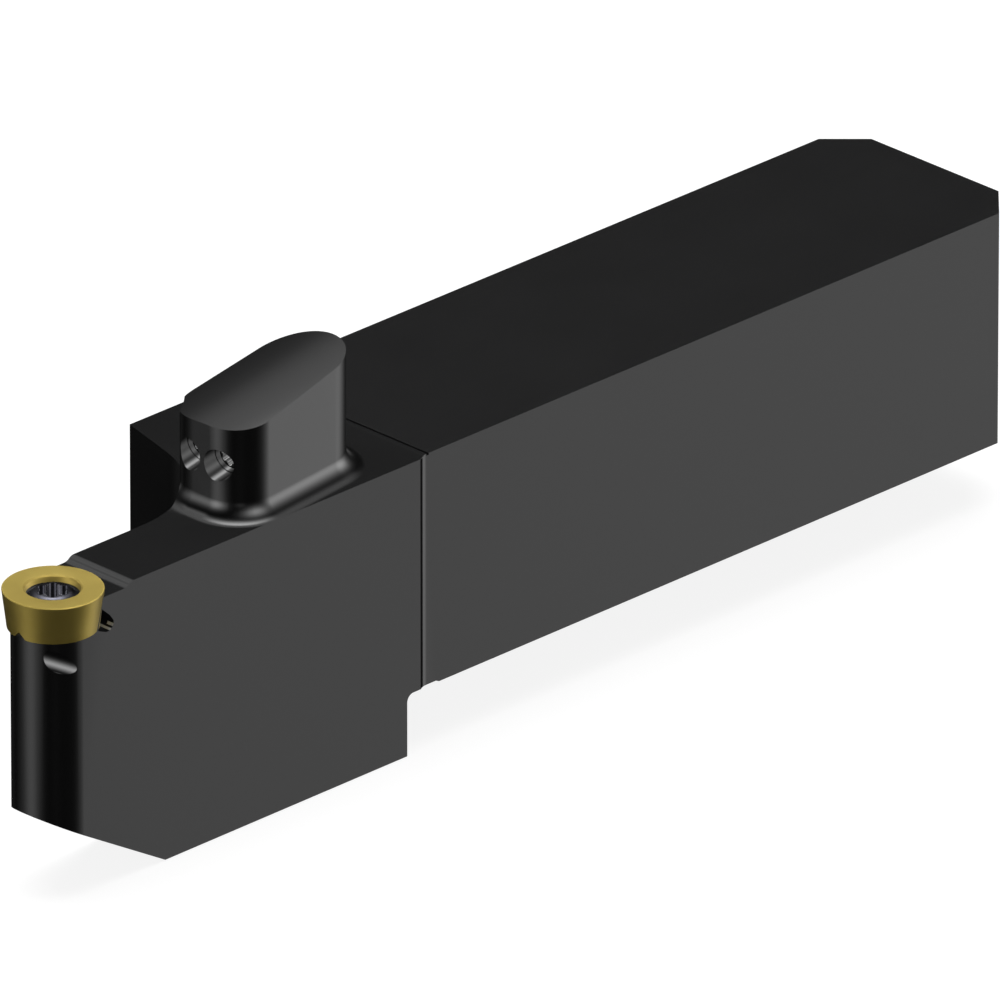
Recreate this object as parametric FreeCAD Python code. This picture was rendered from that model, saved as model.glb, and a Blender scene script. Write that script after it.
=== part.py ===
"""A right-hand turning tool holder with a round cutting insert, in millimetres.

The origin lies under the middle of the shank's rear end. X runs along the shank
to the cutting end, Y to the side that the insert's blade lies on, and Z up.
"""
import FreeCAD
import Part
import math
import os

Vector = FreeCAD.Vector
UP = Vector(0, 0, 1)
ACROSS = Vector(0, 1, 0)

# Square shank, ground on all four sides, with two bevelled corners at its rear end.
SHANK_WIDTH = 25.0
SHANK_HEIGHT = 25.0
SHANK_LENGTH = 83.3
REAR_CHAMFER = 3.7

# Head: its sides stand proud of the ground shank and its top lies a little lower.
HEAD_PROUD = 0.35
HEAD_TOP_DROP = 0.1
HEAD_TOP_SETBACK = 0.4
JUNCTION_RADIUS = 2.0

# Heel that hangs below the shank, and the relief in front of its rear face.
RELIEF_HEIGHT = 0.2
RELIEF_RAMP = 0.4
RELIEF_LENGTH = 4.3
HEEL_SETBACK = 3.0
HEEL_FILLET = 0.85
HEEL_DROP = 6.4
HEEL_FRONT_TO_TIP = 15.05
NOSE_SLANT = 30.0

# Blade under the insert, with its round nose on the insert's axis.
SHANK_END_TO_AXIS = 46.9
BLADE_WIDTH = 8.3
SCOOP_TO_AXIS = 16.0
SCOOP_RADIUS = 14.0
SCOOP_WALL_ANGLE = 15.0

# Coolant tower on top of the head, set back from the head's near side.
TOWER_FRONT_TO_AXIS = 22.35
TOWER_LENGTH = 18.7
TOWER_WIDTH = 11.0
TOWER_SETBACK = 1.45
TOWER_TAPER = 6.5
TOWER_NEAR_CORNER = 3.9
TOWER_FAR_CORNER = 4.8
TOWER_HEIGHT = 9.5
TOWER_TOP_SLOPE = 9.5
TOWER_CROWN_RADIUS = 30.0
TOWER_CROWN_SETBACK = 5.55
TOWER_FILLET = 1.9

# Round insert with a clearance angle all round its flank.
INSERT_DIAMETER = 10.0
INSERT_THICKNESS = 3.97
INSERT_RELIEF_ANGLE = 7.0
INSERT_BORE = 3.9
INSERT_EDGE_LAND = 0.08
INSERT_BORE_EDGE = 0.5
KEY_WIDTH = 1.48
KEY_HEIGHT = 0.66

# Pocket that holds the insert.
POCKET_LAND_DROP = 0.6
POCKET_RAMP_LENGTH = 1.4
POCKET_RAMP_TO_AXIS = 6.9
UNDERCUT_TO_AXIS = 4.1
UNDERCUT_LENGTH = 1.6
UNDERCUT_FLOOR = 0.45
UNDERCUT_TOP = 2.2
UNDERCUT_CORNER = 0.5
KEY_END_GAP = 1.0

# Lower coolant jet: a slanting bore that comes out of the nose under the insert.
LOWER_JET_DIAMETER = 2.0
LOWER_JET_SLOPE = 30.0
LOWER_JET_YAW = 4.0
LOWER_JET_TO_AXIS = 2.4
LOWER_JET_BELOW_SEAT = 2.2
LOWER_JET_FROM_SIDE = 0.97
LOWER_JET_DEPTH = 12.6

# Insert screw with a six-lobe socket.
SCREW_THREAD = 3.5
SCREW_HEAD = 5.2
SCREW_HEAD_SUNK = 0.75
SCREW_DOME_HEIGHT = 0.45
SCREW_DOME_TOP = 3.65
SCREW_HEAD_ANGLE = 60.0
SCREW_HEAD_RIM = 0.25
SCREW_LENGTH = 9.0
SCREW_HOLE_DEPTH = 8.0
SOCKET_ACROSS_LOBES = 3.3
SOCKET_LOBE_RADIUS = 0.38
SOCKET_LOBES = 6
SOCKET_DEPTH = 1.6
SOCKET_TURN = 15.0

# Coolant way: inlet in the rear end, long bore, upright bore into the tower.
INLET_THREAD_BORE = 8.57
INLET_DEPTH = 11.0
INLET_CHAMFER = 0.8
FEED_BORE = 4.5
FEED_BESIDE_JET = 1.9
RISER_BORE = 5.0
RISER_BEHIND_FRONT = 8.45
RISER_SETBACK = 6.45
RISER_TOP_WALL = 2.6
DRILL_POINT_ANGLE = 118.0

# Port under the upright bore, closed by a plug on a soft metal seal.
PORT_BORE = 8.57
PORT_DEPTH = 5.8
PORT_CHAMFER = 0.6
PLUG_LENGTH = 4.2
PLUG_RECESS = 0.6
PLUG_SOCKET_ACROSS_FLATS = 4.0
PLUG_SOCKET_DEPTH = 2.6
PLUG_EDGE = 0.5
SEAL_WIDTH = 1.5

# Two coolant nozzles in the front of the tower, aimed down at the cutting edge.
NOZZLE_MOUTH = 3.25
NOZZLE_MOUTH_DEPTH = 1.5
NOZZLE_THREAD = 2.95
NOZZLE_SETBACK = 4.5
NOZZLE_SPACING = 3.8
NOZZLE_ABOVE_HEAD = 5.5
NOZZLE_PITCH = 12.0
NOZZLE_RECESS = 1.8
NOZZLE_LENGTH = 4.0
NOZZLE_FEED = 2.2
NOZZLE_JET = 1.0
NOZZLE_EDGE = 0.25
NOZZLE_SOCKET_ACROSS_LOBES = 2.1
NOZZLE_SOCKET_LOBE_RADIUS = 0.27
NOZZLE_SOCKET_DEPTH = 1.2

# Clearances between pieces.
INSERT_CLEARANCE = 0.02
KEY_CLEARANCE = 0.04
SCREW_CLEARANCE = 0.03
THREAD_CLEARANCE = 0.02
CUT_MARGIN = 2.0

# Places worked out from the sizes above.
HEAD_SIDE = SHANK_WIDTH / 2 + HEAD_PROUD
HEAD_TOP = SHANK_HEIGHT - HEAD_TOP_DROP
AXIS_X = SHANK_LENGTH + SHANK_END_TO_AXIS
BLADE_RADIUS = BLADE_WIDTH / 2
AXIS_Y = HEAD_SIDE - BLADE_RADIUS
INSERT_TOP = SHANK_HEIGHT
SEAT_HEIGHT = INSERT_TOP - INSERT_THICKNESS
SCOOP_X = AXIS_X - SCOOP_TO_AXIS
SCOOP_Y = AXIS_Y - BLADE_RADIUS - SCOOP_RADIUS
TOWER_FRONT = AXIS_X - TOWER_FRONT_TO_AXIS
TOWER_NEAR_SIDE = HEAD_SIDE - TOWER_SETBACK
TOWER_FAR_SIDE = TOWER_NEAR_SIDE - TOWER_WIDTH
TOWER_CROWN_LINE = HEAD_SIDE - TOWER_CROWN_SETBACK
RISER_X = TOWER_FRONT - RISER_BEHIND_FRONT
RISER_ACROSS = HEAD_SIDE - RISER_SETBACK
NOZZLE_NEAR_ACROSS = HEAD_SIDE - NOZZLE_SETBACK
NOSE_FRONT = AXIS_X + BLADE_RADIUS
HEEL_REAR = SHANK_LENGTH + HEEL_SETBACK
HEEL_FRONT = NOSE_FRONT - HEEL_FRONT_TO_TIP
SCREW_TOP = INSERT_TOP - SCREW_HEAD_SUNK


def line(start, end):
    return Part.LineSegment(start, end).toShape()


def arc(start, middle, end):
    return Part.Arc(start, middle, end).toShape()


def round_arc(centre, radius, from_angle, to_angle):
    """An arc in the plan, given by its two angles in degrees."""
    points = []
    for angle in (from_angle, (from_angle + to_angle) / 2, to_angle):
        turn = math.radians(angle)
        points.append(centre + Vector(math.cos(turn), math.sin(turn), 0) * radius)
    return arc(*points)


def joined(pieces):
    """One closed wire: the pieces in order, with straight runs between them."""
    edges = []
    for piece, following in zip(pieces, pieces[1:] + pieces[:1]):
        if isinstance(piece, Part.Edge):
            edges.append(piece)
        start = piece.Vertexes[-1].Point if isinstance(piece, Part.Edge) else piece
        end = following.Vertexes[0].Point if isinstance(following, Part.Edge) else following
        if start.distanceToPoint(end) > 1e-6:
            edges.append(line(start, end))
    return Part.Wire(edges)


def turned(profile, centre):
    """A solid of revolution about an upright axis, from (radius, height) points."""
    points = [Vector(centre.x + radius, centre.y, centre.z + height) for radius, height in profile]
    face = Part.Face(Part.makePolygon(points + points[:1]))
    return face.revolve(centre, UP, 360)


def hexagon_prism(across_flats, length, base, direction):
    """A six-sided prism whose base is centred on a point."""
    prism = Part.Face(hexagon(across_flats)).extrude(UP * length)
    prism.Placement = FreeCAD.Placement(base, FreeCAD.Rotation(UP, direction))
    return prism


def hexagon(across_flats):
    corner = across_flats / 2 / math.cos(math.radians(30))
    points = []
    for number in range(6):
        turn = math.radians(60 * number)
        points.append(Vector(corner * math.cos(turn), corner * math.sin(turn), 0))
    return Part.makePolygon(points + points[:1])


def drilled(diameter, length, base, direction):
    """The space that a drill leaves: a cylinder with a pointed end."""
    radius = diameter / 2
    point = radius / math.tan(math.radians(DRILL_POINT_ANGLE / 2))
    hole = Part.makeCylinder(radius, length, base, direction)
    tip = Part.makeCone(radius, 0, point, base + direction * length, direction)
    return hole.fuse(tip)


def plan_outline():
    """The whole body seen from above, from its rear end round by the far side."""
    half = SHANK_WIDTH / 2
    lean = math.degrees(math.acos(1 - HEAD_PROUD / JUNCTION_RADIUS))
    far_junction = Vector(SHANK_LENGTH, -half - JUNCTION_RADIUS, 0)
    near_junction = Vector(SHANK_LENGTH, half + JUNCTION_RADIUS, 0)
    scoop = Vector(SCOOP_X, SCOOP_Y, 0)
    wall_turn = math.radians(SCOOP_WALL_ANGLE)
    touch = scoop + Vector(-math.cos(wall_turn), math.sin(wall_turn), 0) * SCOOP_RADIUS
    wall_foot = touch.x - (touch.y + HEAD_SIDE) * math.tan(wall_turn)
    axis = Vector(AXIS_X, AXIS_Y, 0)
    return joined([
        Vector(0, -half + REAR_CHAMFER, 0),
        Vector(REAR_CHAMFER, -half, 0),
        round_arc(far_junction, JUNCTION_RADIUS, 90, 90 - lean),
        Vector(wall_foot, -HEAD_SIDE, 0),
        round_arc(scoop, SCOOP_RADIUS, 180 - SCOOP_WALL_ANGLE, 90),
        round_arc(axis, BLADE_RADIUS, -90, 90),
        round_arc(near_junction, JUNCTION_RADIUS, -90 + lean, -90),
        Vector(REAR_CHAMFER, half, 0),
        Vector(0, half - REAR_CHAMFER, 0),
    ])


def ramp_arcs():
    """Two arcs from the head's top down to the land behind the insert."""
    start = Vector(AXIS_X - POCKET_RAMP_TO_AXIS, 0, HEAD_TOP)
    drop = POCKET_LAND_DROP - HEAD_TOP_DROP
    end = start + Vector(POCKET_RAMP_LENGTH, 0, -drop)
    middle = (start + end) / 2
    radius = (POCKET_RAMP_LENGTH ** 2 + drop ** 2) / (4 * drop)
    half_turn = math.asin(POCKET_RAMP_LENGTH / 2 / radius) / 2
    step = Vector(radius * math.sin(half_turn), 0, -radius * (1 - math.cos(half_turn)))
    return arc(end, end - step, middle), arc(middle, start + step, start)


def side_outline():
    """The whole body seen from the side, without its tower."""
    relief_start = HEEL_REAR - RELIEF_LENGTH
    corner = Vector(HEEL_REAR - HEEL_FILLET, 0, RELIEF_HEIGHT - HEEL_FILLET)
    slope = math.sin(math.radians(45)) * HEEL_FILLET
    fillet = arc(
        corner + UP * HEEL_FILLET,
        corner + Vector(slope, 0, slope),
        corner + Vector(HEEL_FILLET, 0, 0),
    )
    front = NOSE_FRONT + CUT_MARGIN
    rise = (front - HEEL_FRONT) * math.tan(math.radians(NOSE_SLANT))
    ramp_low, ramp_high = ramp_arcs()
    step = SHANK_LENGTH + HEAD_TOP_SETBACK
    return joined([
        Vector(0, 0, 0),
        Vector(relief_start - RELIEF_RAMP, 0, 0),
        Vector(relief_start, 0, RELIEF_HEIGHT),
        fillet,
        Vector(HEEL_REAR, 0, -HEEL_DROP),
        Vector(HEEL_FRONT, 0, -HEEL_DROP),
        Vector(front, 0, rise - HEEL_DROP),
        Vector(front, 0, INSERT_TOP - POCKET_LAND_DROP),
        ramp_low,
        ramp_high,
        Vector(step, 0, HEAD_TOP),
        Vector(step, 0, SHANK_HEIGHT),
        Vector(0, 0, SHANK_HEIGHT),
    ])


def tower_outline():
    """The tower seen from above: three round corners and a slightly tapered near side."""
    taper = math.radians(TOWER_TAPER)
    across = Vector(-math.sin(taper), math.cos(taper), 0)
    near_centre = Vector(TOWER_FRONT - TOWER_NEAR_CORNER, TOWER_NEAR_SIDE - TOWER_NEAR_CORNER, 0)
    far_centre = Vector(TOWER_FRONT - TOWER_FAR_CORNER, TOWER_FAR_SIDE + TOWER_FAR_CORNER, 0)
    rear = TOWER_FRONT - TOWER_LENGTH
    # The rear round touches the far side, the rear tip and the near side.
    near_foot = near_centre + across * TOWER_NEAR_CORNER
    reach = (near_foot - Vector(rear, TOWER_FAR_SIDE, 0)).dot(across)
    rear_radius = reach / (1 + across.x + across.y)
    rear_centre = Vector(rear + rear_radius, TOWER_FAR_SIDE + rear_radius, 0)
    return joined([
        round_arc(far_centre, TOWER_FAR_CORNER, -90, 0),
        round_arc(near_centre, TOWER_NEAR_CORNER, 0, 90 + TOWER_TAPER),
        round_arc(rear_centre, rear_radius, 90 + TOWER_TAPER, 270),
    ])


def tower_crown():
    """A long cylinder whose upper side is the tower's sloping, crowned top."""
    slope = math.radians(TOWER_TOP_SLOPE)
    direction = Vector(math.cos(slope), 0, -math.sin(slope))
    crest = Vector(TOWER_FRONT, TOWER_CROWN_LINE, HEAD_TOP + TOWER_HEIGHT)
    below = Vector(math.sin(slope), 0, math.cos(slope)) * TOWER_CROWN_RADIUS
    start = crest - below - direction * TOWER_LENGTH * 2
    return Part.makeCylinder(TOWER_CROWN_RADIUS, TOWER_LENGTH * 3, start, direction)


def make_tower():
    """The tower on a wide plate, so that its foot fillet can run out over the head's edge."""
    foot = HEAD_TOP - CUT_MARGIN
    outline = tower_outline()
    outline.translate(UP * foot)
    column = Part.Face(outline).extrude(UP * (TOWER_HEIGHT * 2))
    column = column.common(tower_crown())
    reach = 2 * TOWER_FILLET + CUT_MARGIN
    plate = Part.makeBox(
        TOWER_LENGTH + 2 * reach,
        2 * HEAD_SIDE + reach,
        CUT_MARGIN,
        Vector(TOWER_FRONT - TOWER_LENGTH - reach, -HEAD_SIDE, foot),
    )
    blank = plate.fuse(column)
    foot_edges = [edge for edge in blank.Edges if is_tower_foot(edge)]
    return blank.makeFillet(TOWER_FILLET, foot_edges)


def is_tower_foot(edge):
    box = edge.BoundBox
    flat = abs(box.ZMin - HEAD_TOP) < 1e-4 and abs(box.ZMax - HEAD_TOP) < 1e-4
    return flat and box.XMax < TOWER_FRONT + 0.01 and box.YMax < TOWER_NEAR_SIDE + 0.01 \
        and box.YMin > TOWER_FAR_SIDE - 0.01 and box.XMin > TOWER_FRONT - TOWER_LENGTH - 0.01


def insert_radius(height):
    """Radius of the insert's flank at a height above its seat."""
    lean = math.tan(math.radians(INSERT_RELIEF_ANGLE))
    return INSERT_DIAMETER / 2 - (INSERT_THICKNESS - height) * lean


def key_prism(width, height, length, start):
    """A three-sided rib along X that stands on a point of the seat."""
    face = Part.Face(Part.makePolygon([
        start + Vector(0, -width / 2, 0),
        start + Vector(0, width / 2, 0),
        start + Vector(0, 0, height),
        start + Vector(0, -width / 2, 0),
    ]))
    return face.extrude(Vector(length, 0, 0))


def pocket_space():
    """The insert's room, from its seat up past the head's top."""
    seat = Vector(AXIS_X, AXIS_Y, SEAT_HEIGHT)
    top = INSERT_THICKNESS + CUT_MARGIN
    room = Part.makeCone(
        insert_radius(0) + INSERT_CLEARANCE,
        insert_radius(top) + INSERT_CLEARANCE,
        top,
        seat,
    )
    key = key_prism(KEY_WIDTH, KEY_HEIGHT, BLADE_WIDTH, seat - Vector(BLADE_RADIUS + KEY_END_GAP, 0, 0))
    return room.cut(key)


def undercut_space():
    """A groove across the blade that frees the foot of the pocket's wall."""
    rear = AXIS_X - UNDERCUT_TO_AXIS
    front = rear + UNDERCUT_LENGTH
    low = SEAT_HEIGHT - UNDERCUT_FLOOR
    outline = joined([
        Vector(front, 0, SEAT_HEIGHT + UNDERCUT_TOP),
        Vector(rear + UNDERCUT_CORNER, 0, SEAT_HEIGHT + UNDERCUT_TOP - 2 * UNDERCUT_CORNER),
        Vector(rear, 0, SEAT_HEIGHT + UNDERCUT_CORNER),
        Vector(rear, 0, SEAT_HEIGHT),
        Vector(rear + UNDERCUT_CORNER, 0, low),
        Vector(rear + 2 * UNDERCUT_CORNER, 0, low),
        Vector(front + UNDERCUT_CORNER, 0, SEAT_HEIGHT),
    ])
    outline.translate(ACROSS * (AXIS_Y - BLADE_WIDTH))
    return Part.Face(outline).extrude(ACROSS * (2 * BLADE_WIDTH))


def screw_hole():
    """Tapped hole through the rib and the seat, at the thread's full diameter."""
    start = Vector(AXIS_X, AXIS_Y, SEAT_HEIGHT + CUT_MARGIN)
    return drilled(SCREW_THREAD, SCREW_HOLE_DEPTH + CUT_MARGIN, start, -UP)


def lower_jet_mouth():
    """A point on the slanting bore's axis near its mouth in the nose."""
    return Vector(
        AXIS_X + LOWER_JET_TO_AXIS,
        HEAD_SIDE - LOWER_JET_FROM_SIDE,
        SEAT_HEIGHT - LOWER_JET_BELOW_SEAT,
    )


def lower_jet_way():
    """Direction of the slanting bore into the blade."""
    slope = math.radians(LOWER_JET_SLOPE)
    yaw = math.radians(LOWER_JET_YAW)
    return Vector(
        -math.cos(slope) * math.cos(yaw),
        -math.cos(slope) * math.sin(yaw),
        -math.sin(slope),
    )


def lower_jet():
    way = lower_jet_way()
    start = lower_jet_mouth() - way * CUT_MARGIN
    return drilled(LOWER_JET_DIAMETER, LOWER_JET_DEPTH + CUT_MARGIN, start, way)


def coolant_way():
    """Inlet thread, long bore to both outlets, upright bore and the port below it."""
    rear = Vector(0, 0, SHANK_HEIGHT / 2)
    forward = Vector(1, 0, 0)
    inlet = Part.makeCylinder(INLET_THREAD_BORE / 2, INLET_DEPTH, rear, forward)
    mouth = INLET_THREAD_BORE / 2 + INLET_CHAMFER
    lead = Part.makeCone(mouth, INLET_THREAD_BORE / 2, INLET_CHAMFER, rear, forward)
    # The long bore ends beside the foot of the slanting one, so that it feeds that too.
    jet_foot = lower_jet_mouth() + lower_jet_way() * LOWER_JET_DEPTH
    way = jet_foot - ACROSS * FEED_BESIDE_JET - rear
    length = way.Length
    bore = drilled(FEED_BORE, length, rear, way.normalize())
    port_foot = Vector(RISER_X, RISER_ACROSS, -HEEL_DROP)
    port = Part.makeCylinder(PORT_BORE / 2, PORT_DEPTH, port_foot)
    port_mouth = PORT_BORE / 2 + PORT_CHAMFER
    port_lead = Part.makeCone(port_mouth, PORT_BORE / 2, PORT_CHAMFER, port_foot)
    riser = drilled(RISER_BORE, riser_top() + HEEL_DROP, port_foot, UP)
    return [inlet, lead, bore, port, port_lead, riser]


def riser_top():
    """Height where the upright bore's full width ends inside the tower."""
    slope = math.tan(math.radians(TOWER_TOP_SLOPE))
    crest = HEAD_TOP + TOWER_HEIGHT + RISER_BEHIND_FRONT * slope
    point = RISER_BORE / 2 / math.tan(math.radians(DRILL_POINT_ANGLE / 2))
    return crest - RISER_TOP_WALL - point


def nozzle_places():
    """Mouth of each nozzle's bore on the tower's front."""
    height = HEAD_TOP + NOZZLE_ABOVE_HEAD
    near = Vector(TOWER_FRONT, NOZZLE_NEAR_ACROSS, height)
    return {"nozzle_near": near, "nozzle_far": near - ACROSS * NOZZLE_SPACING}


def nozzle_inward():
    """Direction from a nozzle's mouth into the tower."""
    pitch = math.radians(NOZZLE_PITCH)
    return Vector(-math.cos(pitch), 0, math.sin(pitch))


def nozzle_bore(mouth):
    inward = nozzle_inward()
    start = mouth - inward * CUT_MARGIN
    wide = Part.makeCylinder(NOZZLE_MOUTH / 2, CUT_MARGIN + NOZZLE_MOUTH_DEPTH, start, inward)
    seat = Part.makeCylinder(NOZZLE_THREAD / 2, NOZZLE_RECESS + NOZZLE_LENGTH, mouth, inward)
    feed = Part.makeCylinder(NOZZLE_FEED / 2, RISER_BEHIND_FRONT, mouth, inward)
    return wide.fuse(seat).fuse(feed)


def make_holder_body():
    """Shank, head, heel, blade and tower: one forged and milled piece of steel."""
    height = HEAD_TOP + 2 * TOWER_HEIGHT
    plan = plan_outline()
    plan.translate(UP * -HEEL_DROP)
    column = Part.Face(plan).extrude(UP * (height + HEEL_DROP))
    side = side_outline()
    side.translate(ACROSS * -SHANK_WIDTH)
    slab = Part.Face(side).extrude(ACROSS * (2 * SHANK_WIDTH))
    body = slab.common(column).fuse(make_tower().common(column)).removeSplitter()
    spaces = [pocket_space(), undercut_space(), screw_hole(), lower_jet()]
    spaces += coolant_way()
    spaces += [nozzle_bore(mouth) for mouth in nozzle_places().values()]
    for space in spaces:
        body = body.cut(space)
    return body.removeSplitter()


def countersink_depth():
    """How far below the insert's top the screw head's seat ends at the bore."""
    lean = math.tan(math.radians(SCREW_HEAD_ANGLE / 2))
    top_radius = SCREW_HEAD / 2 + SCREW_CLEARANCE
    return SCREW_HEAD_SUNK + SCREW_HEAD_RIM + (top_radius - INSERT_BORE / 2) / lean


def make_insert():
    """Round carbide insert: a turned form with a grooved underside."""
    rim = SCREW_HEAD / 2 + SCREW_CLEARANCE
    profile = [
        (INSERT_BORE / 2, 0),
        (insert_radius(0), 0),
        (insert_radius(INSERT_THICKNESS - INSERT_EDGE_LAND), INSERT_THICKNESS - INSERT_EDGE_LAND),
        (INSERT_DIAMETER / 2 - INSERT_EDGE_LAND, INSERT_THICKNESS),
        (rim + INSERT_BORE_EDGE * 0.6, INSERT_THICKNESS),
        (rim + INSERT_BORE_EDGE * 0.2, INSERT_THICKNESS - INSERT_BORE_EDGE * 0.3),
        (rim, INSERT_THICKNESS - INSERT_BORE_EDGE),
        (rim, INSERT_THICKNESS - SCREW_HEAD_SUNK - SCREW_HEAD_RIM),
        (INSERT_BORE / 2, INSERT_THICKNESS - countersink_depth()),
    ]
    seat = Vector(AXIS_X, AXIS_Y, SEAT_HEIGHT)
    body = turned(profile, seat)
    groove = key_prism(
        KEY_WIDTH + 2 * KEY_CLEARANCE,
        KEY_HEIGHT + KEY_CLEARANCE,
        2 * INSERT_DIAMETER,
        seat - Vector(INSERT_DIAMETER, 0, 0),
    )
    return body.cut(groove)


def six_lobe_socket(across, lobe_radius, depth, mouth, inward, turn_degrees=0.0):
    """The space of a six-lobe socket that is sunk from its mouth."""
    lobe_place = across / 2 - lobe_radius
    space = Part.makeCylinder(lobe_place, depth)
    for number in range(SOCKET_LOBES):
        turn = 2 * math.pi * number / SOCKET_LOBES + math.radians(turn_degrees)
        place = Vector(math.cos(turn), math.sin(turn), 0) * lobe_place
        space = space.fuse(Part.makeCylinder(lobe_radius, depth, place))
    space = space.removeSplitter()
    space.Placement = FreeCAD.Placement(mouth, FreeCAD.Rotation(UP, inward))
    return space


def make_insert_screw():
    """Countersunk screw with a low domed head that clamps the insert on its seat."""
    lean = math.tan(math.radians(SCREW_HEAD_ANGLE / 2))
    shank = SCREW_THREAD / 2 - THREAD_CLEARANCE
    head = SCREW_HEAD / 2
    cone = (head - shank) / lean
    edge = SCREW_HEAD_RIM / 2
    profile = [
        (0, SCREW_DOME_HEIGHT),
        (SCREW_DOME_TOP / 2, SCREW_DOME_HEIGHT),
        (head - edge, 0),
        (head, -edge),
        (head, -SCREW_HEAD_RIM),
        (shank, -SCREW_HEAD_RIM - cone),
        (shank, edge * 2 - SCREW_LENGTH),
        (shank - edge * 2, -SCREW_LENGTH),
        (0, -SCREW_LENGTH),
    ]
    top = Vector(AXIS_X, AXIS_Y, SCREW_TOP)
    socket = six_lobe_socket(
        SOCKET_ACROSS_LOBES,
        SOCKET_LOBE_RADIUS,
        SOCKET_DEPTH,
        top + UP * SCREW_DOME_HEIGHT,
        -UP,
        SOCKET_TURN,
    )
    return turned(profile, top).cut(socket)


def make_nozzle(mouth):
    """Screwed-in nozzle with a six-lobe socket and a fine jet bore."""
    inward = nozzle_inward()
    face = mouth + inward * NOZZLE_RECESS
    radius = NOZZLE_THREAD / 2 - THREAD_CLEARANCE
    lip = Part.makeCone(radius - NOZZLE_EDGE, radius, NOZZLE_EDGE, face, inward)
    barrel = Part.makeCylinder(radius, NOZZLE_LENGTH - NOZZLE_EDGE, face + inward * NOZZLE_EDGE, inward)
    socket = six_lobe_socket(
        NOZZLE_SOCKET_ACROSS_LOBES,
        NOZZLE_SOCKET_LOBE_RADIUS,
        NOZZLE_SOCKET_DEPTH,
        face,
        inward,
    )
    jet = Part.makeCylinder(NOZZLE_JET / 2, NOZZLE_LENGTH, face, inward)
    return lip.fuse(barrel).removeSplitter().cut(socket).cut(jet)


def make_port_plug():
    """Headless plug with a hexagon socket, screwed into the port under the heel."""
    foot = Vector(RISER_X, RISER_ACROSS, -HEEL_DROP + PLUG_RECESS)
    radius = PORT_BORE / 2 - THREAD_CLEARANCE
    profile = [
        (0, 0),
        (radius - PLUG_EDGE, 0),
        (radius, PLUG_EDGE),
        (radius, PLUG_LENGTH - PLUG_EDGE),
        (radius - PLUG_EDGE, PLUG_LENGTH),
        (0, PLUG_LENGTH),
    ]
    socket = hexagon_prism(PLUG_SOCKET_ACROSS_FLATS, PLUG_SOCKET_DEPTH, foot, UP)
    return turned(profile, foot).cut(socket)


def make_port_seal():
    """Soft metal ring between the plug's end and the port's floor."""
    foot = -HEEL_DROP + PLUG_RECESS + PLUG_LENGTH
    thickness = PORT_DEPTH - PLUG_RECESS - PLUG_LENGTH
    radius = PORT_BORE / 2 - THREAD_CLEARANCE
    centre = Vector(RISER_X, RISER_ACROSS, foot)
    ring = Part.makeCylinder(radius, thickness, centre)
    return ring.cut(Part.makeCylinder(radius - SEAL_WIDTH, thickness, centre))


def make_all():
    nodes = {
        "holder_body": make_holder_body(),
        "insert": make_insert(),
        "insert_screw": make_insert_screw(),
        "bottom_port_plug": make_port_plug(),
        "bottom_port_seal": make_port_seal(),
    }
    for name, mouth in nozzle_places().items():
        nodes[name] = make_nozzle(mouth)
    return nodes


os.makedirs("parts", exist_ok=True)
for name, shape in make_all().items():
    solid = shape.Solids[0]
    print(name, len(shape.Solids), shape.isValid(), round(solid.Volume, 2))
    solid.exportStep(os.path.join("parts", name + ".step"))
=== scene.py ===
import math

import bmesh
import bpy
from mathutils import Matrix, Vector


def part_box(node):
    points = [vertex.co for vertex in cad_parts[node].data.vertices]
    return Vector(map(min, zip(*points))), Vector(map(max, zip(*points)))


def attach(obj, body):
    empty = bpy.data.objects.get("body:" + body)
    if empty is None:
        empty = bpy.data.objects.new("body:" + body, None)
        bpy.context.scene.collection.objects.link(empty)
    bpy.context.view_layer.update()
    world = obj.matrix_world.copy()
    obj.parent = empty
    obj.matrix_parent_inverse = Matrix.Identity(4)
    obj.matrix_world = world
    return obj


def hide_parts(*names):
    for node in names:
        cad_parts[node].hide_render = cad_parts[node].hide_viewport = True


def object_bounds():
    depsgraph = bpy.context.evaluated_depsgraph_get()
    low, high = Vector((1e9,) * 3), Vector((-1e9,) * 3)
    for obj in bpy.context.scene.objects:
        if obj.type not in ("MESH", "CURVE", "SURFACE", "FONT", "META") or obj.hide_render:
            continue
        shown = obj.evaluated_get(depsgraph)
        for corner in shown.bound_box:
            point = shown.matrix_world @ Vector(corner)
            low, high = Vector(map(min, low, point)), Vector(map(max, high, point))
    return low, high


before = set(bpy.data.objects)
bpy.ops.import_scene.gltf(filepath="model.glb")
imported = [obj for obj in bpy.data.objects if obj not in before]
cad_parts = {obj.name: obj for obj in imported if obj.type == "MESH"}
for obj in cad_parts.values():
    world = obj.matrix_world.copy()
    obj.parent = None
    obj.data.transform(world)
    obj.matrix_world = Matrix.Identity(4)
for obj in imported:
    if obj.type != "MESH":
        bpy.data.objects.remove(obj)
cad_lowest, cad_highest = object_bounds()


# Holder body: one forged and milled piece of tool steel, blackened all over.
# Its shank is ground on four sides, the head and the coolant tower are milled,
# and a long bore carries coolant from the thread in the rear end to the outlets.

mm_in_metre = 1000


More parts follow.
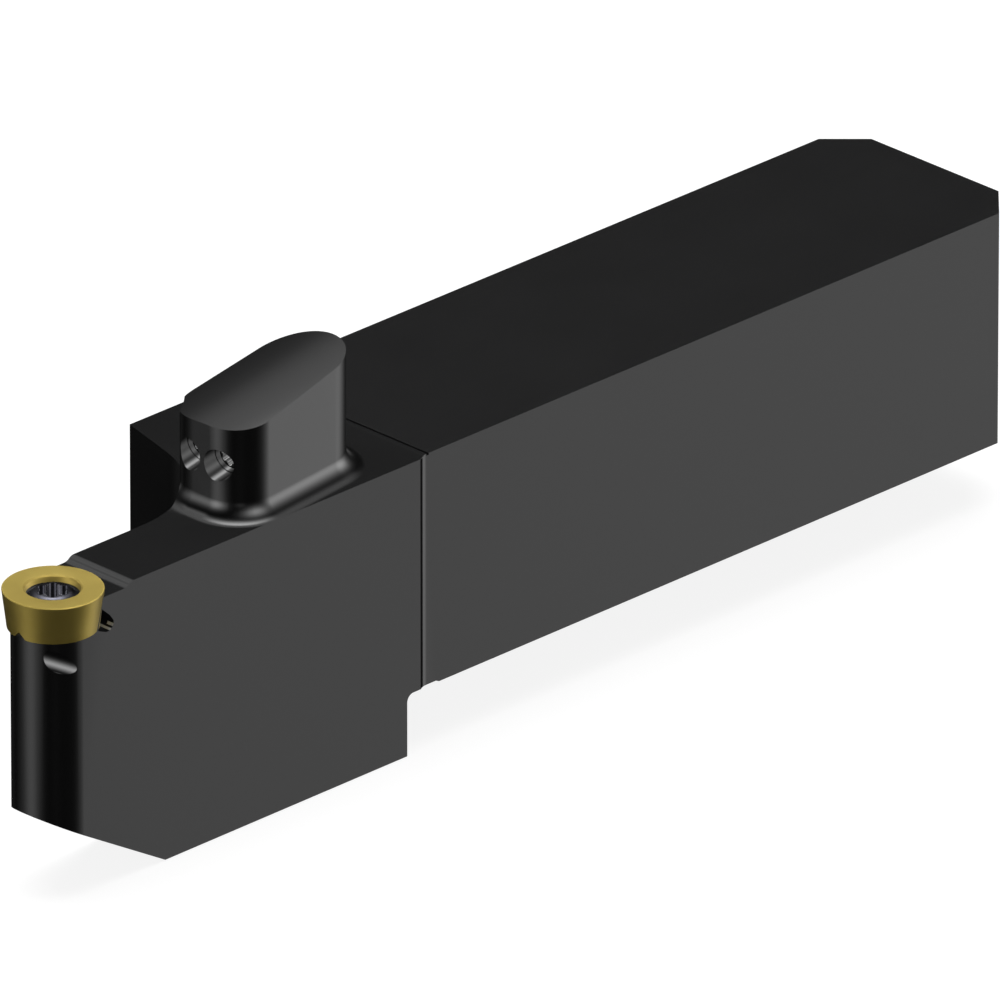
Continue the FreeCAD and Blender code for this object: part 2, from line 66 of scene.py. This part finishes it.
class Value:
    """A socket that takes part in sums as a number does."""

    def __init__(self, nodes, socket):
        self.nodes = nodes
        self.socket = socket

    def math(self, operation, *others):
        return self.nodes.node("ShaderNodeMath", {"operation": operation}, self, *others).out()

    def __add__(self, other):
        return self.math("ADD", other)

    def __radd__(self, other):
        return self.math("ADD", other)

    def __sub__(self, other):
        return self.math("SUBTRACT", other)

    def __rsub__(self, other):
        return self.nodes.node("ShaderNodeMath", {"operation": "SUBTRACT"}, other, self).out()

    def __mul__(self, other):
        return self.math("MULTIPLY", other)

    def __rmul__(self, other):
        return self.math("MULTIPLY", other)

    def __truediv__(self, other):
        return self.math("DIVIDE", other)

    def __pow__(self, other):
        return self.math("POWER", other)

    def __lt__(self, other):
        return self.math("LESS_THAN", other)

    def __gt__(self, other):
        return self.math("GREATER_THAN", other)

    def step(self, low, high):
        """0 below low, 1 above high, and a smooth rise between them."""
        node = self.nodes.node(
            "ShaderNodeMapRange",
            {"interpolation_type": "SMOOTHSTEP"},
            self,
            low,
            high,
            0.0,
            1.0,
        )
        return node.out()

    def between(self, low, high, soft):
        """1 from low to high, with a smooth rise and fall over soft to each side."""
        return self.step(low - soft, low + soft) * (1 - self.step(high - soft, high + soft))


class Node:
    """A node whose outputs are read as values."""

    def __init__(self, nodes, raw):
        self.nodes = nodes
        self.raw = raw

    def out(self, name=0):
        return Value(self.nodes, self.raw.outputs[name])


class Nodes:
    """A node tree that is written as Python sums."""

    def __init__(self, owner):
        owner.use_nodes = True
        self.tree = owner.node_tree
        self.tree.nodes.clear()

    def node(self, kind, settings=None, *values, **named):
        """Adds a node: first its settings, then its sockets by order or by name."""
        raw = self.tree.nodes.new(kind)
        for name, setting in (settings or {}).items():
            setattr(raw, name, setting)
        for key, value in list(enumerate(values)) + list(named.items()):
            if value is None:
                continue
            socket = raw.inputs[key if isinstance(key, int) else key.replace("_", " ")]
            if isinstance(value, Value):
                self.tree.links.new(value.socket, socket)
            else:
                socket.default_value = value
        return Node(self, raw)

    def place(self):
        """Object coordinates in millimetres, as a vector and as three values."""
        where = self.node("ShaderNodeTexCoord").out("Object")
        scaled = self.node("ShaderNodeVectorMath", {"operation": "SCALE"}, where, Scale=mm_in_metre)
        apart = self.node("ShaderNodeSeparateXYZ", None, scaled.out())
        return scaled.out(), apart.out(0), apart.out(1), apart.out(2)

    def noise(self, where, size, detail, stretch=(1, 1, 1)):
        """Even noise from 0 to 1 whose patches are about size millimetres."""
        scale = tuple(1 / (size * part) for part in stretch)
        spot = self.node("ShaderNodeMapping", None, Vector=where, Scale=scale).out()
        return self.node("ShaderNodeTexNoise", None, Vector=spot, Scale=1.0, Detail=detail).out(0)

    def blend(self, share, first, second):
        """A colour between two colours."""
        node = self.node("ShaderNodeMix", {"data_type": "RGBA"})
        for key, value in ((0, share), (6, first), (7, second)):
            if isinstance(value, Value):
                self.tree.links.new(value.socket, node.raw.inputs[key])
            else:
                node.raw.inputs[key].default_value = value
        return node.out(2)

    def bump(self, height, depth_mm, normal=None):
        """Normals of a relief whose full height is depth_mm."""
        depth = depth_mm / mm_in_metre
        node = self.node(
            "ShaderNodeBump", None, Strength=1.0, Distance=depth, Height=height, Normal=normal
        )
        return node.out()

    def surface(self, **sockets):
        """The material's shader, with its sockets by name."""
        shader = self.node("ShaderNodeBsdfPrincipled", None, **sockets).out()
        self.node("ShaderNodeOutputMaterial", None, shader)


def distance(one, other):
    """How far a point lies from an axis, by its two offsets from it."""
    return (one * one + other * other) ** 0.5


def smooth_copy(name, sharp_angle=38):
    """A copy of a CAD node whose round faces shade as round."""
    same_point = 2e-6  # metres
    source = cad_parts[name]
    form = bmesh.new()
    form.from_mesh(source.data)
    bmesh.ops.remove_doubles(form, verts=form.verts, dist=same_point)
    for face in form.faces:
        face.smooth = True
    for edge in form.edges:
        edge.smooth = edge.is_manifold and edge.calc_face_angle(0) < math.radians(sharp_angle)
    mesh = bpy.data.meshes.new(name + "_finished")
    form.to_mesh(mesh)
    form.free()
    piece = bpy.data.objects.new(name + "_finished", mesh)
    bpy.context.scene.collection.objects.link(piece)
    even = piece.modifiers.new("Even normals", "WEIGHTED_NORMAL")
    even.weight = 100
    even.keep_sharp = True
    return piece


def dress(piece, node, body, material):
    """Puts a finished piece in the place of its CAD node."""
    piece.data.materials.clear()
    piece.data.materials.append(material)
    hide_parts(node)
    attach(piece, body)
    # In the photo the tool doesn't mirror itself: its bores are as bright as its open faces.
    piece.visible_glossy = False


black_steel = bpy.data.materials.new("blackened_tool_steel")
steel = Nodes(black_steel)
where, along, across, up = steel.place()

# Ground shank: fine straight lines along its length.
shank_end = 83.3
ground_lines = steel.noise(where, 0.25, 3.0, stretch=(40, 1, 1))
shank = 1 - along.step(shank_end - 0.1, shank_end + 0.1)
# Milled and blasted head: a fine even grain.
fine_grain = steel.noise(where, 0.12, 3.0)
cloud = steel.noise(where, 9.0, 4.0)

# The G 1/8 thread in the rear end rises 0.907 mm a turn.
inlet_height = 12.5
thread_rise = 0.907
thread_end = 10.6
thread_radius = 4.6
above_inlet = up - inlet_height
turn = across.math("ARCTAN2", above_inlet) / (2 * math.pi)
thread_wave = (along / thread_rise + turn).math("PINGPONG", 0.5) * 2
in_thread = (along < thread_end) * (distance(across, above_inlet) < thread_radius)

# Painted shade: a fine dark line runs round the head where it meets the shank. On the top it lies
# further back.
just_under_top = 24.8
line_on_side = (83.93, 84.47)
line_on_top = (82.98, 83.30)
line_softness = 0.03
on_top = up > just_under_top
dark_line_shade = (
    along.between(*line_on_side, line_softness) * (1 - on_top)
    + along.between(*line_on_top, line_softness) * on_top
)

# The relief beside the insert is painted black as painted shade, but for two narrow steps that
# carry a painted highlight in pale grey.
relief_rear, relief_front = 126.05, 128.3
relief_floor, relief_roof = 20.5, 23.4
near_side = 12.82
upper_step_front = 126.23
upper_step_low, upper_step_high = 20.88, 21.19
upper_step_inner_end = 12.0
lower_step_span = (126.41, 126.59)
lower_step_high = 20.85
step_softness = 0.02
in_relief = (
    (along > relief_rear)
    * (along < relief_front)
    * (across < near_side)
    * (up > relief_floor)
    * (up < relief_roof)
)
upper_step = (
    (along < upper_step_front)
    * (up < upper_step_high)
    * (up > upper_step_low)
    * (across > upper_step_inner_end)
)
lower_step = along.between(*lower_step_span, step_softness) * (up < lower_step_high)
highlight_steps = in_relief * upper_step.math("MAXIMUM", lower_step)
painted_black_shade = dark_line_shade.math("MAXIMUM", in_relief * (1 - highlight_steps))

tool_marks = shank * ground_lines * 0.6 + (1 - shank) * fine_grain * 0.5
tool_mark_depth = 0.0025
thread_depth = 0.5
marked_normal = steel.bump(tool_marks, tool_mark_depth)
thread_normal = steel.bump(thread_wave * in_thread, thread_depth, marked_normal)
deep_black = (0.0020, 0.0020, 0.0021, 1)
worn_black = (0.0046, 0.0046, 0.0047, 1)
highlight_grey = (0.50, 0.52, 0.58, 1)
wear = cloud * 0.5 + ground_lines * shank * 0.35 + fine_grain * 0.15
# Painted shade turns the dark line and the relief black through Metallic and Roughness; a painted
# highlight lightens the two steps.
steel.surface(
    Base_Color=steel.blend(highlight_steps, steel.blend(wear, deep_black, worn_black), highlight_grey),
    Metallic=painted_black_shade,
    Roughness=0.17 + cloud * 0.03 + ground_lines * shank * 0.05 + painted_black_shade * 0.8,
    IOR=1.5,
    Normal=thread_normal,
)
holder = smooth_copy("holder_body", 30)
dress(holder, "holder_body", "holder", black_steel)


# Insert: a round of sintered carbide with a thin gold-coloured coating, ground on
# its flank and its top, and held on the V-shaped rib of the seat by its groove.

coated = bpy.data.materials.new("gold_coated_carbide")
coat = Nodes(coated)
where, along, across, up = coat.place()
insert_low, insert_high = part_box("insert")
centre = (insert_low + insert_high) / 2 * mm_in_metre
radius = distance(along - centre.x, across - centre.y)
grain = coat.noise(where, 0.10, 4.0)
patch = coat.noise(where, 1.6, 3.0)
rings = coat.noise(where, 0.09, 2.0, stretch=(60, 60, 1))
insert_top = 24.95
flank = 1 - up.step(insert_top - 0.05, insert_top)
# The cutting edge is honed dull. The bore and its rounded lip are painted a little darker, as
# painted shade.
honed_radius = 4.80
lip_radius = 2.98
honed = radius.step(honed_radius, honed_radius + 0.12)
lip = 1 - radius.step(lip_radius - 0.10, lip_radius)
# Painted shadow: a black ring lies round the screw's head, at the foot of the bore, in the gap
# between insert and screw.
shadow_ring_top = 24.40
painted_gap_shadow = lip * (1 - up.step(shadow_ring_top - 0.10, shadow_ring_top))
deep_gold = (0.42, 0.31, 0.064, 1)
pale_gold = (0.50, 0.385, 0.090, 1)
shaded_lip_gold = (0.20, 0.14, 0.03, 1)
shadow_ring_black = (0.006, 0.005, 0.004, 1)
gold = coat.blend(patch * 0.55 + grain * 0.45, deep_gold, pale_gold)
gold = coat.blend(lip * 0.45, gold, shaded_lip_gold)
gold = coat.blend(painted_gap_shadow, gold, shadow_ring_black)
coat.surface(
    Base_Color=gold,
    Metallic=0.62 + flank * 0.14,
    Roughness=0.34 + patch * 0.08 - flank * 0.04 + lip * 0.22 + honed * (1 - flank) * 0.20,
    Normal=coat.bump(grain * 0.5 + rings * flank, 0.0022),
)
insert = smooth_copy("insert")
dress(insert, "insert", "holder", coated)


# Insert screw: hardened steel with a countersunk head and a six-lobe socket, oiled
# and dark, screwed down through the insert into the blade.

screw_steel = bpy.data.materials.new("dark_screw_steel")
dark = Nodes(screw_steel)
where, along, across, up = dark.place()
turned_lines = dark.noise(where, 0.08, 3.0, stretch=(8, 8, 1))
smear = dark.noise(where, 0.7, 3.0)
# Bright upright lines in the socket: partly wear rubbed by the driver, partly a painted highlight.
socket_radius = 1.33
socket_floor = 23.25
in_socket = distance(along - centre.x, across - centre.y) < socket_radius
wear_highlight_lines = dark.noise(where, 0.22, 1.0, stretch=(1, 1, 60)).step(0.50, 0.60)
wear_and_highlight = in_socket * (up > socket_floor) * wear_highlight_lines
oiled = dark.blend(smear, (0.04, 0.04, 0.050, 1), (0.10, 0.10, 0.12, 1))
worn_highlight_grey = (0.27, 0.27, 0.30, 1)
dark.surface(
    Base_Color=dark.blend(wear_and_highlight, oiled, worn_highlight_grey),
    Metallic=1.0 - wear_and_highlight * 0.6,
    Roughness=0.20 + smear * 0.12,
    Normal=dark.bump(turned_lines, 0.002),
)
screw = smooth_copy("insert_screw")
dress(screw, "insert_screw", "screw", screw_steel)


# Nozzles: two small turned and threaded steel plugs, each with a six-lobe socket
# and a jet bore, screwed into the front of the tower.

nozzle_steel = bpy.data.materials.new("turned_nozzle_steel")
bright = Nodes(nozzle_steel)
where, along, across, up = bright.place()
smear = bright.noise(where, 0.5, 3.0)
cut_lines = bright.noise(where, 0.05, 2.0)
# Painted shade: each nozzle's face is black outside its brighter middle.
tilt = math.radians(12)
mouth_along, mouth_up = 107.85, 30.4
middle_across = 6.45
axis_from_middle = 1.9
bright_radius = 1.05
off_axis = (across - middle_across).math("ABSOLUTE") - axis_from_middle
above_axis = (along - mouth_along) * math.sin(tilt) + (up - mouth_up) * math.cos(tilt)
nozzle_ring_shade = distance(off_axis, above_axis) > bright_radius
turned = bright.blend(smear, (0.07, 0.07, 0.07, 1), (0.13, 0.13, 0.13, 1))
ring_shade_black = (0.008, 0.008, 0.008, 1)
bright.surface(
    Base_Color=bright.blend(nozzle_ring_shade, turned, ring_shade_black),
    Metallic=1.0,
    Roughness=0.24 + smear * 0.10,
    Normal=bright.bump(cut_lines, 0.0015),
)
for name in ("nozzle_near", "nozzle_far"):
    dress(smooth_copy(name), name, "holder", nozzle_steel)


# Plug and seal under the heel: a headless hexagon-socket plug closes the upright
# coolant bore and presses on a soft copper ring.

plug = smooth_copy("bottom_port_plug")
dress(plug, "bottom_port_plug", "holder", screw_steel)

copper = bpy.data.materials.new("annealed_copper")
soft = Nodes(copper)
where, along, across, up = soft.place()
tarnish = soft.noise(where, 0.6, 4.0)
tarnished_copper = (0.30, 0.13, 0.07, 1)
clean_copper = (0.62, 0.30, 0.18, 1)
soft.surface(
    Base_Color=soft.blend(tarnish, tarnished_copper, clean_copper),
    Metallic=1.0,
    Roughness=0.30 + tarnish * 0.15,
    Normal=soft.bump(tarnish, 0.01),
)
seal = smooth_copy("bottom_port_seal")
dress(seal, "bottom_port_seal", "holder", copper)


# Camera: a long lens from the front near side, an eighth of a turn off the shank's
# axis and looking down by 25 degrees.

camera_azimuth = math.radians(45.077)
camera_elevation = math.radians(25.045)
ahead = Vector((
    -math.cos(camera_azimuth) * math.cos(camera_elevation),
    -math.sin(camera_azimuth) * math.cos(camera_elevation),
    -math.sin(camera_elevation),
))
to_right = ahead.cross(Vector((0, 0, 1))).normalized()
to_top = to_right.cross(ahead)
tool_middle = Vector((0.070, 0, 0.0125))
camera_distance = 3.317595
moved_right, moved_down = 0.0065573, 0.0008821
lens = bpy.data.cameras.new("long_lens")
lens.sensor_width = 36
lens.lens = 1222.22
lens.clip_start = 0.1
lens.clip_end = 50
camera = bpy.data.objects.new("camera", lens)
bpy.context.scene.collection.objects.link(camera)
camera.location = (
    tool_middle - ahead * camera_distance + to_right * moved_right - to_top * moved_down
)
camera.rotation_mode = "QUATERNION"
camera.rotation_quaternion = ahead.to_track_quat("-Z", "Y")
bpy.context.scene.camera = camera


# Light: a large soft box overhead and an even weak light all round. Glossy rays see
# a dark room with soft round lights, as the photo's reflections show, and the
# camera sees a white background.

room = bpy.data.worlds.new("studio_room")
bpy.context.scene.world = room
walls = Nodes(room)
direction = walls.node("ShaderNodeTexCoord").out("Generated")
apart = walls.node("ShaderNodeSeparateXYZ", None, direction)
ray_x, ray_y, ray_z = apart.out(0), apart.out(1), apart.out(2)
azimuth_degrees = ray_y.math("ARCTAN2", ray_x) * (180 / math.pi)


def panel(centre_degrees, half_width, softness):
    """1 within a range of azimuth, measured round from +X."""
    away = (azimuth_degrees - centre_degrees + 540).math("FLOORED_MODULO", 360.0) - 180
    return 1 - away.math("ABSOLUTE").step(half_width - softness, half_width + softness)


def glow(around_degrees, above_degrees, tightness):
    """A round light with a soft edge, 1 at its middle."""
    around, above = math.radians(around_degrees), math.radians(above_degrees)
    toward = (
        math.cos(around) * math.cos(above),
        math.sin(around) * math.cos(above),
        math.sin(above),
    )
    facing = walls.node(
        "ShaderNodeVectorMath", {"operation": "DOT_PRODUCT"}, direction, toward
    ).out(1)
    return ((facing - 1) * tightness).math("EXPONENT")


def straight_rays(nodes):
    """1 for the camera's rays, also where they pass through something clear."""
    paths = nodes.node("ShaderNodeLightPath")
    return paths.out("Is Camera Ray").math("MAXIMUM", paths.out("Is Transmission Ray"))


# The lights behind the tool fade out below a height, which is the sine of an elevation.
dark_room = 0.004
rear_light = glow(227, 61, 17) * ray_z.step(0.74, 0.89) * 7.5
rear_haze = panel(225, 45, 20) * ray_z.step(0.42, 0.70) * 0.80
studio = dark_room + rear_light + rear_haze
# Azimuth, elevation, tightness and strength of each round light. The last four are
# weak fills for the faces that the photo doesn't show.
for around_degrees, above_degrees, tightness, brightness in (
    (150, -1, 13, 4.8),
    (343, 1, 14, 5.0),
    (308, 5, 20, 0.8),
    (97, 37, 12, 5.0),
    (280, 49, 100, 1.5),
    (252, 30, 20, 0.25),
    (75, -20, 1.5, 0.04),
    (50, -4, 45, 0.45),
    (228, -10, 60, 0.32),
    (265, -8, 60, 0.35),
):
    studio = studio + glow(around_degrees, above_degrees, tightness) * brightness
even_light = 0.20
seen = straight_rays(walls)
glossy = walls.node("ShaderNodeLightPath").out("Is Glossy Ray")
strength = seen + (1 - seen) * (glossy * studio + (1 - glossy) * even_light)
backdrop = walls.node("ShaderNodeBackground", None, (1, 1, 1, 1), strength).out()
walls.node("ShaderNodeOutputWorld", None, backdrop)

box_light = bpy.data.lights.new("overhead_box", "AREA")
box_light.shape = "RECTANGLE"
box_light.size = 1.2
box_light.size_y = 0.9
box_light.energy = 15
overhead = bpy.data.objects.new("overhead_box", box_light)
bpy.context.scene.collection.objects.link(overhead)
overhead.location = (-0.05, -0.15, 1.05)
down_to_tool = Vector((0.07, 0, 0)) - overhead.location
overhead.rotation_euler = down_to_tool.to_track_quat("-Z", "Y").to_euler()
overhead.visible_glossy = False


# Floor: a pale sheet that the heel stands on, white to the camera but for the
# holder's soft shadow.

floor_reach = 6.0
floor_clearance = 0.0001
form = bmesh.new()
bmesh.ops.create_grid(form, x_segments=1, y_segments=1, size=floor_reach)
floor_place = (tool_middle.x, 0, cad_lowest.z - floor_clearance)
bmesh.ops.translate(form, verts=form.verts, vec=floor_place)
sheet_mesh = bpy.data.meshes.new("floor")
form.to_mesh(sheet_mesh)
form.free()
floor = bpy.data.objects.new("floor", sheet_mesh)
bpy.context.scene.collection.objects.link(floor)
pale = bpy.data.materials.new("pale_floor")
paper = Nodes(pale)
white_to_camera = 0.88
paper.surface(
    Base_Color=(0.20, 0.20, 0.20, 1),
    Roughness=0.9,
    Specular_IOR_Level=0.0,
    Emission_Color=(1, 1, 1, 1),
    Emission_Strength=straight_rays(paper) * white_to_camera,
)
sheet_mesh.materials.append(pale)
floor.visible_glossy = False

bpy.context.scene.view_settings.view_transform = "Standard"
